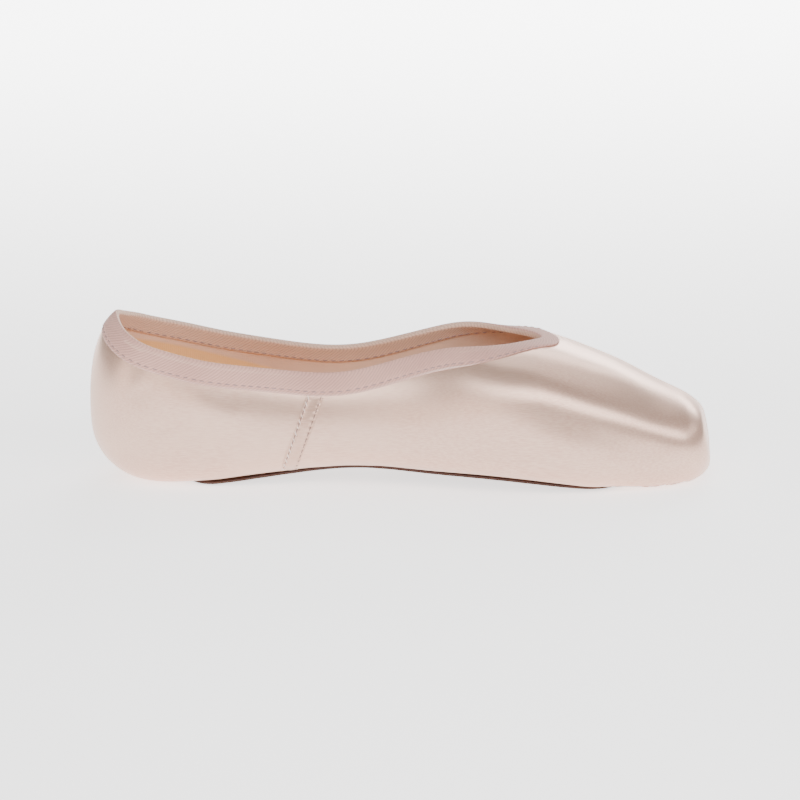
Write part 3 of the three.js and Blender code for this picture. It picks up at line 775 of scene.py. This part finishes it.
# %% sew a row
def sew(name, places, finish, scale=1.0):
    """A row of stitches as one mesh. Each place is a point, the direction along the row and the way out."""
    rows, faces = [], []
    for point, along, out in places:
        along = (along - out * along.dot(out)).normalized()
        frame_of_stitch = np.array([along, out.cross(along), out])
        faces += [[v + len(rows) * len(STITCH_CORNERS) for v in face] for face in STITCH_FACES]
        rows.append((STITCH_CORNERS * scale) @ frame_of_stitch + np.array(point))
    mesh = bpy.data.meshes.new(name)
    mesh.from_pydata(np.vstack(rows).tolist(), [], faces)
    mesh.materials.append(finish)
    piece = bpy.data.objects.new(name, mesh)
    bpy.context.scene.collection.objects.link(piece)
    only(piece)
    bpy.ops.object.shade_smooth()
    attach(piece, "root")
    print(name, "has", len(places), "stitches")


def thread_finish(name, red, green, blue):
    """Twisted thread of this colour, darker between its turns."""
    thread = Finish(name, Roughness=0.6, Specular_IOR_Level=0.35)
    twist = thread.cloud(thread.place(), 1800, 1.0)
    shade = thread.blend(twist, colour(red, green, blue), colour(red - 22, green - 22, blue - 20))
    return thread.finish(Base_Color=shade, Normal=thread.bump(twist, 0.05 * MM, 0.5))


# The tape's thread is painted darker than the tape, partly its own grey and partly painted shade where the stitches
# dip in.
thread = thread_finish("thread", 168, 142, 140)
light_thread = thread_finish("light_thread", 250, 230, 220)
# A dark thread for the seams' needle marks: partly the thread, partly painted shade of the holes.
dark_thread_with_painted_shade = thread_finish("dark_thread_with_painted_shade", 148, 120, 116)
print("thread finish", thread.name)


# %% [markdown]
# To set a stitch, its two coordinates on the tape have to become a point on the tape. The faces that show are laid
# out flat in those coordinates, and a ray dropped on this flat pattern tells the face and the place in it.

# %% find a place on the tape
def flat_pattern(piece, flat, shows):
    """A tree of a piece's faces laid out flat, with the corners of each triangle."""
    triangles = []
    for face in piece.data.polygons:
        if shows[face.index]:
            ring = list(face.vertices)
            triangles += [(ring[0], ring[i], ring[i + 1]) for i in range(1, len(ring) - 1)]
    used = [t for t in triangles if np.ptp(flat[list(t), 0]) < ROUND_MM / 2]
    laid = [(float(f[0]), float(f[1]), 0.0) for f in flat]
    return BVHTree.FromPolygons(laid, used), used


def on_pattern(pattern, flat, points, along, deep):
    """The point of the piece at these two coordinates, or None where the pattern has no face."""
    tree, triangles = pattern
    spot, _, number, _ = tree.ray_cast(Vector((along, deep, 1)), Vector((0, 0, -1)))
    if spot is None:
        return None
    a, b, c = triangles[number]
    corner, first, second = flat[a], flat[b] - flat[a], flat[c] - flat[a]
    gone = np.array([along, deep]) - corner
    area = first[0] * second[1] - first[1] * second[0]
    if abs(area) < 1e-9:
        return Vector(points[a])
    s = (gone[0] * second[1] - gone[1] * second[0]) / area
    t = (first[0] * gone[1] - first[1] * gone[0]) / area
    return Vector(points[a] + s * (points[b] - points[a]) + t * (points[c] - points[a]))


tape_flat = np.column_stack([round_mm, deep_mm])
face_middles = np.array([p.center[:] for p in tape.data.polygons])
face_looks = np.array([p.normal[:] for p in tape.data.polygons])
rim_at, _ = nearest_on_rim(face_middles, outer_rim)
rim_out = outer_rim - inner_rim
rim_out /= np.linalg.norm(rim_out, axis=1)[:, None]
out_facing = (face_looks * rim_out[rim_at]).sum(1)
face_deep = np.array([deep_mm[list(p.vertices)].mean() for p in tape.data.polygons])
outer_pattern = flat_pattern(tape, tape_flat, (out_facing > 0.1) & (face_deep > 1))
inner_pattern = flat_pattern(tape, tape_flat, (out_facing < -0.1) & (face_deep < -1))
print("faces on the outer leg", len(outer_pattern[1]), "on the inner leg", len(inner_pattern[1]))


# %% sew the two rows of the tape
points_of_tape = corners(tape)
STITCH_PITCH_MM = 2.95


def row_on_tape(pattern, deep, pitch, outwards):
    """Places for the stitches of one row, at a depth below the fold."""
    found = []
    count = round(ROUND_MM / pitch)
    for i in range(count):
        along = (i + 0.5) * ROUND_MM / count
        here = on_pattern(pattern, tape_flat, points_of_tape, along, deep)
        ahead = on_pattern(pattern, tape_flat, points_of_tape, along + 1, deep)
        above = on_pattern(pattern, tape_flat, points_of_tape, along, deep - math.copysign(1, deep))
        if here and ahead and above:
            run = (ahead - here).normalized()
            out = run.cross(above - here).normalized()
            if out.dot(Vector(rim_out[int(along / ROUND_MM * RIM_POINTS) % RIM_POINTS])) * outwards < 0:
                out = -out
            found.append((here + out * 0.02 * MM, run, out))
    return found


outer_places = row_on_tape(outer_pattern, OUTER_ROW_MM, STITCH_PITCH_MM, 1)
inner_places = row_on_tape(inner_pattern, INNER_ROW_MM, STITCH_PITCH_MM, -1)
sew("tape_stitches_outer", outer_places, thread)
sew("tape_stitches_inner", inner_places, thread)


# %% [markdown]
# ## The side seams
#
# On each side the vamp laps over the heel piece, and two rows of stitches hold the lap. The copy of the strip is
# creased at its edges, so that it stays flat and thin, and smoothed. The thread pulls the satin in between the
# stitches, which shows as small puckers: the strip sinks a little along each row and rises between its stitches.
# Dark needle marks show in both rows, as short stitches in a dark thread that is partly the thread and partly painted
# shade of the needle holes, and light, slanted bars of thread only in the one nearer the heel.

# %% lap and stitch the seams
SEAM_FOOT = Vector((-41.0, 0, 5.0)) * MM
SEAM_HEAD = Vector((-29.0, 0, 37.5)) * MM
SEAM_UP = (SEAM_HEAD - SEAM_FOOT).normalized()
SEAM_ACROSS = Vector((SEAM_UP.z, 0, -SEAM_UP.x))
ROW_FROM_MIDDLE = 2.2 * MM
SEAM_PITCH = 2.35 * MM
PUCKER_DEPTH = 0.55 * MM
FOOT_LIFT = 1.3 * MM
SEAM_SOLID_GAP = 0.3 * MM
SEAM_GAP = 0.05 * MM
SEAM_SHARE = 0.6
# The lap is the same satin, painted 14 steps darker as painted shade of the puckered, stitched band.
shaded_seam_satin = satin_finish("shaded_seam_satin", 14)

for side, node in ((-1, "side_seam_right"), (1, "side_seam_left")):
    seam = welded_copy(node, "lapped_" + node)
    crease_sharp_edges(seam, math.radians(60), 0.8)
    subdivide(seam, 4)
    points, normals = corners(seam), corner_normals(seam)
    rise = (points - np.array(SEAM_FOOT)) @ np.array(SEAM_UP)
    across = (points - np.array(SEAM_FOOT)) @ np.array(SEAM_ACROSS)
    shown = smooth_step(normals[:, 1] * side, 0.2, 0.6)
    row = np.exp(-(((np.abs(across) - ROW_FROM_MIDDLE) / (0.7 * MM)) ** 2))
    pucker = 0.6 + 0.4 * np.cos(rise / SEAM_PITCH * 2 * math.pi)
    points = points - normals * (row * pucker * shown * PUCKER_DEPTH)[:, None]
    lifted = FOOT_LIFT * (1 - smooth_step(rise, -1 * MM, 9 * MM))
    set_corners(seam, points + lifted[:, None] * np.array(SEAM_UP))
    press_on(seam, upper, SEAM_SOLID_GAP, SEAM_GAP, np.full(len(points), SEAM_SHARE))
    seam.data.materials.append(shaded_seam_satin)
    only(seam)
    bpy.ops.object.shade_smooth_by_angle(angle=math.radians(50))
    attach(seam, "root")
    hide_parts(node)
    tree = BVHTree.FromObject(seam, bpy.context.evaluated_depsgraph_get())
    bars, shaded_needle_marks = [], []
    for half in range(2, 30):
        for off in (-ROW_FROM_MIDDLE, ROW_FROM_MIDDLE):
            spot = SEAM_FOOT + SEAM_UP * (half / 2 * SEAM_PITCH) + SEAM_ACROSS * off
            hit, out, _, _ = tree.ray_cast(Vector((spot.x, side * 60 * MM, spot.z)), Vector((0, -side, 0)))
            # At every other place a short dark stitch marks the needle hole: partly thread, partly painted shade.
            if hit and half % 2:
                shaded_needle_marks.append((hit + out * 0.02 * MM, SEAM_UP, out))
            elif hit and off < 0:
                bars.append((hit + out * 0.12 * MM, SEAM_UP - 0.7 * SEAM_ACROSS, out))
    which = node.split("_")[-1]
    sew("seam_stitches_" + which, bars, light_thread, 1.05)
    sew("seam_shaded_needle_marks_" + which, shaded_needle_marks, dark_thread_with_painted_shade, 0.85)


# %% [markdown]
# ## The leather outsole
#
# The outsole is one thin piece of leather, skived at its edge. The copy of the solid is creased round its edges and
# smoothed. Each corner keeps its distance from the outline as an attribute. The finish makes the leather darker
# towards that edge and lays the shallow channel in which the sole is stitched. So that the dark edge shows as a line
# under the satin, it is pushed outwards, and forwards near the toe, and the satin's hem is tucked up a little along
# it.

# %% outsole
EDGE_REACH = 3 * MM
EDGE_SIDEWAYS_MM = 1.8
EDGE_FORWARDS_MM = 4.2
HEM_REACH = 3.5 * MM
outsole = welded_copy("outsole", "leather_outsole")
sole_rings = crease_sharp_edges(outsole, math.radians(45), 0.75)
subdivide(outsole, 3)
sole_outline, _ = smooth_ring(sole_rings[0], 400)
_, from_edge = nearest_on_rim(corners(outsole) * (1, 1, 0), sole_outline * (1, 1, 0))
points = corners(outsole)
edge_share = (1 - smooth_step(from_edge, 0, EDGE_REACH))[:, None]
sideways = np.column_stack([np.zeros(len(points)), np.sign(points[:, 1]), np.zeros(len(points))])
forwards = np.column_stack([smooth_step(points[:, 0], 50 * MM, 75 * MM), np.zeros((len(points), 2))])
set_corners(outsole, points + (sideways * EDGE_SIDEWAYS_MM + forwards * EDGE_FORWARDS_MM) * edge_share * MM)
_, from_sole = nearest_on_rim(corners(upper), sole_outline)
tucked = np.exp(-((from_sole / HEM_REACH) ** 2)) * outside
tucked *= (0.6 + 0.9 * smooth_step(corners(upper)[:, 0], -20 * MM, 60 * MM)) * MM
set_corners(upper, corners(upper) + np.column_stack([0 * tucked, 0 * tucked, tucked]))
attribute = outsole.data.attributes.new("from_edge", "FLOAT", "POINT")
attribute.data.foreach_set("value", from_edge.astype(np.float32) / MM)
print("outsole, widest distance from the edge", round(float(from_edge.max() / MM), 1), "mm")


# %% finish the outsole
leather = Finish("sole_leather", Roughness=0.62, Specular_IOR_Level=0.35)
place = leather.place()
edge = leather.add("Attribute", attribute_name="from_edge", attribute_type="GEOMETRY").outputs["Fac"]
patches = leather.cloud(place, 45, 4.0)
pores = leather.add("TexVoronoi", {"Vector": place, "Scale": 900}).outputs["Distance"]
scratches = leather.cloud(leather.stretched((90, 1400, 1400), (0, 0, 0.4)), 1.0, 3.0, 0.7)
hide = leather.blend(leather.span(patches, 0.3, 0.7, 0, 1), colour(120, 84, 62), colour(98, 66, 49))
worn = leather.blend(leather.span(scratches, 0.62, 0.75, 0, 0.5), hide, colour(150, 112, 86))
# The leather is darker towards its edge.
darker_at_edge = leather.blend(leather.span(edge, 0.3, 1.4, 1, 0), worn, colour(70, 45, 36))
channel = leather.span(leather.math("ABSOLUTE", leather.math("SUBTRACT", edge, 4.0)), 0.0, 0.5, 0.0, 1.0)
relief = leather.bump(channel, 0.4 * MM, 0.7)
relief = leather.bump(pores, 0.1 * MM, 0.5, relief)
relief = leather.bump(scratches, 0.06 * MM, 0.4, relief)
outsole.data.materials.append(leather.finish(Base_Color=darker_at_edge, Normal=relief))
only(outsole)
bpy.ops.object.shade_smooth_by_angle(angle=math.radians(50))
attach(outsole, "root")
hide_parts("outsole")
print("leather has", len(leather.tree.nodes), "nodes")


# %% [markdown]
# ## The insole
#
# The foot stands on a tan insole, a board with a thin cotton sock glued on it. It shows only as a sliver over the
# near side, so a smooth copy with a matt woven finish is enough.

# %% insole
insole = welded_copy("insole", "insole_sock")
crease_sharp_edges(insole, math.radians(60), 0.7, lambda middle: middle.x < TOE_POLE)
subdivide(insole, 1)
insole.data.materials.append(lining_finish("insole_cotton", colour(240, 198, 156), colour(232, 187, 145)))
only(insole)
bpy.ops.object.shade_smooth_by_angle(angle=math.radians(50))
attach(insole, "root")
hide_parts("insole")
